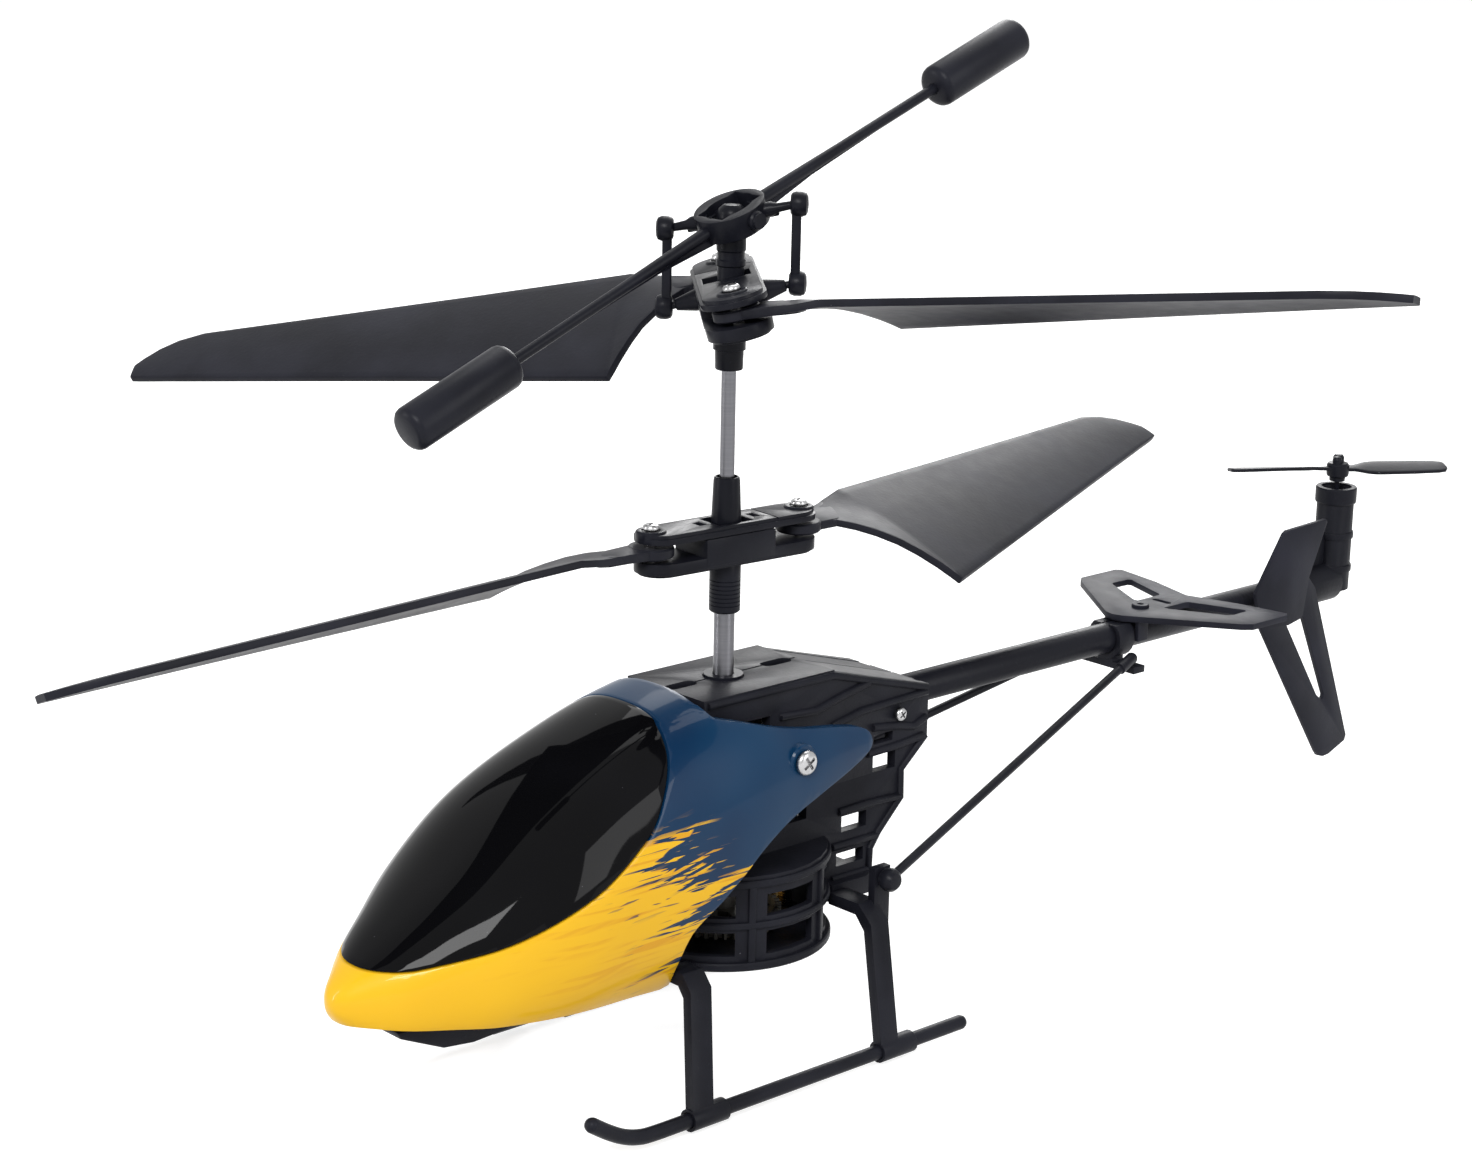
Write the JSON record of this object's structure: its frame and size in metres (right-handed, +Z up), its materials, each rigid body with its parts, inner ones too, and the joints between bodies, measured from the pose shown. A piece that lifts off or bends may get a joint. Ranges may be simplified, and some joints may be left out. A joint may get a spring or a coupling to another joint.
{
  "type": "remote control helicopter",
  "caption": "Micro remote control helicopter: coaxial rotors with weighted flybar, split frame, lacquered canopy, skids and boom with an upright tail rotor.",
  "frame": {"origin": "under the middle of the whole helicopter's bounds, on the ground under the skids", "axes": "-Y is the nose, +X the helicopter's left side, +Z up along the rotor shaft"},
  "size_m": [0.1641, 0.24, 0.1333],
  "materials": {
    "frame_left": "satin black moulded plastic",
    "frame_right": "satin black moulded plastic",
    "deck_bush": "turned brass",
    "lower_bush": "turned brass",
    "canopy_shell": "blue and yellow lacquer",
    "windshield": "gloss black",
    "canopy_screw_left": "bright zinc",
    "canopy_screw_right": "bright zinc",
    "clamp_screw_left": "bright zinc",
    "clamp_screw_right": "bright zinc",
    "battery_tray": "satin black moulded plastic",
    "battery": "silver film pouch",
    "circuit_board": "green solder mask",
    "switch_body": "ground steel",
    "tail_boom": "satin black moulded plastic",
    "tail_motor_housing": "satin black moulded plastic",
    "tail_motor": "ground steel",
    "stabiliser": "satin black moulded plastic",
    "vertical_fin": "satin black moulded plastic",
    "strut_clamp": "satin black moulded plastic",
    "strut_left": "satin black moulded plastic",
    "strut_right": "satin black moulded plastic",
    "skid_left": "satin black moulded plastic",
    "skid_right": "satin black moulded plastic",
    "leg_front_left": "satin black moulded plastic",
    "leg_front_right": "satin black moulded plastic",
    "leg_rear_left": "satin black moulded plastic",
    "leg_rear_right": "satin black moulded plastic",
    "main_motor_front": "ground steel",
    "main_motor_rear": "ground steel",
    "inner_shaft": "ground steel",
    "inner_gear": "natural nylon",
    "rotor_head": "satin black moulded plastic",
    "flybar_pin": "satin black moulded plastic",
    "holder_pin": "bright zinc",
    "outer_tube": "ground steel",
    "outer_gear": "natural nylon",
    "lower_mast": "satin black moulded plastic",
    "pinion_front": "turned brass",
    "pinion_rear": "turned brass",
    "flybar": "satin black moulded plastic",
    "flybar_weight_front": "satin black moulded plastic",
    "flybar_weight_rear": "satin black moulded plastic",
    "upper_blade_holder": "satin black moulded plastic",
    "upper_holder_cap": "satin black moulded plastic",
    "upper_blade_screw_left": "bright zinc",
    "upper_blade_screw_right": "bright zinc",
    "upper_blade_left": "satin black moulded plastic",
    "upper_blade_right": "satin black moulded plastic",
    "link_left": "satin black moulded plastic",
    "link_right": "satin black moulded plastic",
    "lower_hub": "satin black moulded plastic",
    "lower_hub_cap": "satin black moulded plastic",
    "lower_blade_screw_left": "bright zinc",
    "lower_blade_screw_right": "bright zinc",
    "lower_blade_left": "satin black moulded plastic",
    "lower_blade_right": "satin black moulded plastic",
    "tail_rotor": "satin black moulded plastic",
    "switch_slider": "satin black moulded plastic"
  },
  "bodies": {
    "airframe": {"frame_left": "frame_left", "frame_right": "frame_right", "deck_bush": "deck_bush", "lower_bush": "lower_bush", "canopy_shell": "canopy_shell", "windshield": "windshield", "canopy_screw_left": "canopy_screw_left", "canopy_screw_right": "canopy_screw_right", "clamp_screw_left": "clamp_screw_left", "clamp_screw_right": "clamp_screw_right", "battery_tray": "battery_tray", "battery": "battery", "circuit_board": "circuit_board", "switch_body": "switch_body", "tail_boom": "tail_boom", "tail_motor_housing": "tail_motor_housing", "tail_motor": "tail_motor", "stabiliser": "stabiliser", "vertical_fin": "vertical_fin", "strut_clamp": "strut_clamp", "strut_left": "strut_left", "strut_right": "strut_right", "skid_left": "skid_left", "skid_right": "skid_right", "leg_front_left": "leg_front_left", "leg_front_right": "leg_front_right", "leg_rear_left": "leg_rear_left", "leg_rear_right": "leg_rear_right", "main_motor_front": "main_motor_front", "main_motor_rear": "main_motor_rear"},
    "inner_rotor": {"inner_shaft": "inner_shaft", "inner_gear": "inner_gear", "rotor_head": "rotor_head", "flybar_pin": "flybar_pin", "holder_pin": "holder_pin"},
    "outer_rotor": {"outer_tube": "outer_tube", "outer_gear": "outer_gear", "lower_mast": "lower_mast"},
    "pinion_front": {"pinion_front": "pinion_front"},
    "pinion_rear": {"pinion_rear": "pinion_rear"},
    "flybar": {"flybar": "flybar", "flybar_weight_front": "flybar_weight_front", "flybar_weight_rear": "flybar_weight_rear"},
    "upper_holder": {"upper_blade_holder": "upper_blade_holder", "upper_holder_cap": "upper_holder_cap", "upper_blade_screw_left": "upper_blade_screw_left", "upper_blade_screw_right": "upper_blade_screw_right"},
    "upper_blade_left": {"upper_blade_left": "upper_blade_left"},
    "upper_blade_right": {"upper_blade_right": "upper_blade_right"},
    "link_left": {"link_left": "link_left"},
    "link_right": {"link_right": "link_right"},
    "lower_hub": {"lower_hub": "lower_hub", "lower_hub_cap": "lower_hub_cap", "lower_blade_screw_left": "lower_blade_screw_left", "lower_blade_screw_right": "lower_blade_screw_right"},
    "lower_blade_left": {"lower_blade_left": "lower_blade_left"},
    "lower_blade_right": {"lower_blade_right": "lower_blade_right"},
    "tail_rotor": {"tail_rotor": "tail_rotor"},
    "switch_slider": {"switch_slider": "switch_slider"}
  },
  "joints": [
    {"name": "inner_spin", "type": "hinge", "parent": "airframe", "child": "inner_rotor", "pos_m": [-0.00556, -0.02441, 0.05], "axis": [0, 0, 1], "continuous": true},
    {"name": "outer_spin", "type": "hinge", "parent": "airframe", "child": "outer_rotor", "pos_m": [-0.00556, -0.02441, 0.05], "axis": [0, 0, 1], "continuous": true},
    {"name": "pinion_front_spin", "type": "hinge", "parent": "airframe", "child": "pinion_front", "pos_m": [-0.00556, -0.03401, 0.0236], "axis": [0, 0, 1], "continuous": true},
    {"name": "pinion_rear_spin", "type": "hinge", "parent": "airframe", "child": "pinion_rear", "pos_m": [-0.00556, -0.01481, 0.0172], "axis": [0, 0, 1], "continuous": true},
    {"name": "flybar_tilt", "type": "hinge", "parent": "inner_rotor", "child": "flybar", "pos_m": [-0.00556, -0.02441, 0.111], "axis": [1, 0, 0], "range_deg": [-40, 5]},
    {"name": "upper_feather", "type": "hinge", "parent": "inner_rotor", "child": "upper_holder", "pos_m": [-0.00556, -0.02441, 0.101], "axis": [0.7804, -0.6252, 0], "range_deg": [-25.4, 3.6]},
    {"name": "upper_fold_left", "type": "hinge", "parent": "upper_holder", "child": "upper_blade_left", "pos_m": [-0.015, -0.01684, 0.101], "axis": [-0.1469, -0.1834, 0.972], "range_deg": [-75, 8]},
    {"name": "upper_fold_right", "type": "hinge", "parent": "upper_holder", "child": "upper_blade_right", "pos_m": [0.00388, -0.03198, 0.101], "axis": [-0.1469, -0.1834, 0.972], "range_deg": [-60, 20]},
    {"name": "link_left_pivot", "type": "hinge", "parent": "flybar", "child": "link_left", "pos_m": [-0.01226, -0.02927, 0.10906], "axis": [1, 0, 0], "range_deg": [-5.5, 40.5]},
    {"name": "link_right_pivot", "type": "hinge", "parent": "flybar", "child": "link_right", "pos_m": [0.00114, -0.01955, 0.11294], "axis": [1, 0, 0], "range_deg": [-5.5, 40.5]},
    {"name": "lower_teeter", "type": "hinge", "parent": "outer_rotor", "child": "lower_hub", "pos_m": [-0.00556, -0.02441, 0.0685], "axis": [0.9976, -0.0698, 0], "range_deg": [-6, 6]},
    {"name": "lower_fold_left", "type": "hinge", "parent": "lower_hub", "child": "lower_blade_left", "pos_m": [-0.0064, -0.03648, 0.06935], "axis": [0, 0, 1], "range_deg": [-15, 15]},
    {"name": "lower_fold_right", "type": "hinge", "parent": "lower_hub", "child": "lower_blade_right", "pos_m": [-0.00472, -0.01234, 0.06935], "axis": [0, 0, 1], "range_deg": [-15, 15]},
    {"name": "tail_spin", "type": "hinge", "parent": "airframe", "child": "tail_rotor", "pos_m": [-0.00556, 0.10509, 0.0602], "axis": [0, 0, 1], "continuous": true},
    {"name": "switch_slide", "type": "slide", "parent": "airframe", "child": "switch_slider", "axis": [0, 1, 0], "range_m": [0, 0.003]}
  ],
  "couplings": [
    {"joint": "pinion_front_spin", "follows": "outer_spin", "ratio": -5},
    {"joint": "pinion_rear_spin", "follows": "inner_spin", "ratio": -5},
    {"joint": "upper_feather", "follows": "flybar_tilt", "ratio": 0.6233},
    {"joint": "link_left_pivot", "follows": "flybar_tilt", "ratio": -1},
    {"joint": "link_right_pivot", "follows": "flybar_tilt", "ratio": -1}
  ]
}
